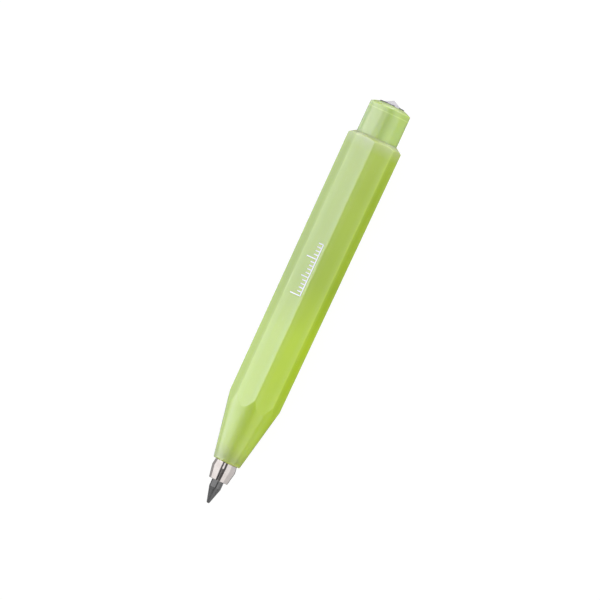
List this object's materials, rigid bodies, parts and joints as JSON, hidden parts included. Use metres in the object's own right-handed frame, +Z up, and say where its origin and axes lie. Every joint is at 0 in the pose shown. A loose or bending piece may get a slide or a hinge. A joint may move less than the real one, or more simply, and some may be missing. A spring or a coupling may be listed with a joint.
{
  "type": "lead holder",
  "caption": "Short octagonal pocket lead holder with a sprung push button, a conical nose and spring-collet jaws that grip a thick sharpened graphite lead.",
  "frame": {"origin": "middle of the bottom of the whole pencil's box, under the axis, with the pencil lying on one flat", "axes": "+X from the lead's point towards the push button, +Z up, one flat of the barrel facing down"},
  "size_m": [0.111, 0.0134, 0.0135],
  "materials": {
    "barrel_plastic": "glossy, milky translucent lime",
    "button_plastic": "glossy, milky translucent lime",
    "bush_plastic": "natural white, matt",
    "nickel_plate": "fine turned, nickel plated",
    "hardened_steel": "ground",
    "spring_steel": "drawn wire, bright",
    "brass": "turned",
    "medallion_chrome": "polished",
    "graphite": "satin graphite"
  },
  "bodies": {
    "barrel": {"barrel": "barrel_plastic", "nose_seat_ring": "hardened_steel", "spring_seat_washer": "hardened_steel", "rear_guide_bush": "bush_plastic"},
    "thrust_collar": {"spring_collar": "brass", "return_spring": "spring_steel"},
    "plunger": {"lead_tube": "brass", "retaining_clip": "spring_steel", "collet_sleeve": "nickel_plate", "push_button": "button_plastic", "button_insert": "brass", "medallion": "medallion_chrome"},
    "jaw_1": {"jaw_1": "nickel_plate"},
    "jaw_2": {"jaw_2": "nickel_plate"},
    "jaw_3": {"jaw_3": "nickel_plate"},
    "lead": {"lead": "graphite"}
  },
  "joints": [
    {"name": "button_press", "type": "slide", "parent": "barrel", "child": "thrust_collar", "axis": [-1, 0, 0], "range_m": [0, 0.004], "stiffness_N_per_m": 245, "springref_m": -0.02, "deforming": ["return_spring"]},
    {"name": "button_turn", "type": "hinge", "parent": "thrust_collar", "child": "plunger", "pos_m": [0.0095, 0, 0.00673], "axis": [1, 0, 0], "continuous": true},
    {"name": "lead_feed", "type": "slide", "parent": "plunger", "child": "lead", "axis": [-1, 0, 0], "range_m": [-0.006, 0.03]},
    {"name": "jaw_1_open", "type": "hinge", "parent": "plunger", "child": "jaw_1", "pos_m": [-0.0225, -0.0018, 0.00733], "axis": [0, 0.3173, 0.9483], "range_deg": [0, 1.25]},
    {"name": "jaw_2_open", "type": "hinge", "parent": "plunger", "child": "jaw_2", "pos_m": [-0.0225, 0.00038, 0.00487], "axis": [0, -0.9799, -0.1994], "range_deg": [0, 1.25]},
    {"name": "jaw_3_open", "type": "hinge", "parent": "plunger", "child": "jaw_3", "pos_m": [-0.0225, 0.00142, 0.00799], "axis": [0, 0.6626, -0.749], "range_deg": [0, 1.25]}
  ],
  "couplings": [
    {"joint": "jaw_1_open", "follows": "button_press", "rad_per_m": 5.2},
    {"joint": "jaw_2_open", "follows": "button_press", "rad_per_m": 5.2},
    {"joint": "jaw_3_open", "follows": "button_press", "rad_per_m": 5.2}
  ]
}
